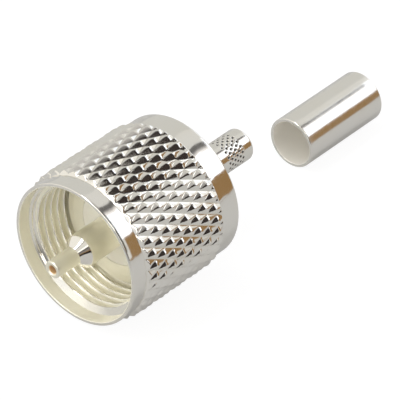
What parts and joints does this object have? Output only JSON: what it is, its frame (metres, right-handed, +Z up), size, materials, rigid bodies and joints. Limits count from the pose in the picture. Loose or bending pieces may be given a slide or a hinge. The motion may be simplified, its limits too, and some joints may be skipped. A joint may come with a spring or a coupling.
{
  "type": "uhf connector",
  "caption": "Crimp-on coaxial UHF plug with a knurled coupling nut that spins, a stepped hollow centre pin and a crimp stem, its plain crimp ferrule taken off behind it.",
  "frame": {"origin": "bottom centre of the bounding box, on the surface that the nut and the ferrule lie on", "axes": "+X along the plug's axis from the mating end to the cable end, +Z up, +Y by the right-hand rule"},
  "size_m": [0.055, 0.0186, 0.0185],
  "materials": {
    "plated_nut": "bright silver plate over brass",
    "plated_body": "bright silver plate over brass",
    "plated_contact": "bright silver plate over brass",
    "plated_ferrule": "bright plate over soft brass tube",
    "white_resin": "smooth turned fluoropolymer"
  },
  "bodies": {
    "plug": {"connector_body": "plated_body", "insulator": "white_resin", "center_contact": "plated_contact", "crimp_ferrule": "plated_ferrule"},
    "nut": {"coupling_nut": "plated_nut"}
  },
  "joints": [
    {"name": "nut_spin", "type": "hinge", "parent": "plug", "child": "nut", "pos_m": [-0.01, 0, 0.00925], "axis": [1, 0, 0], "continuous": true}
  ]
}
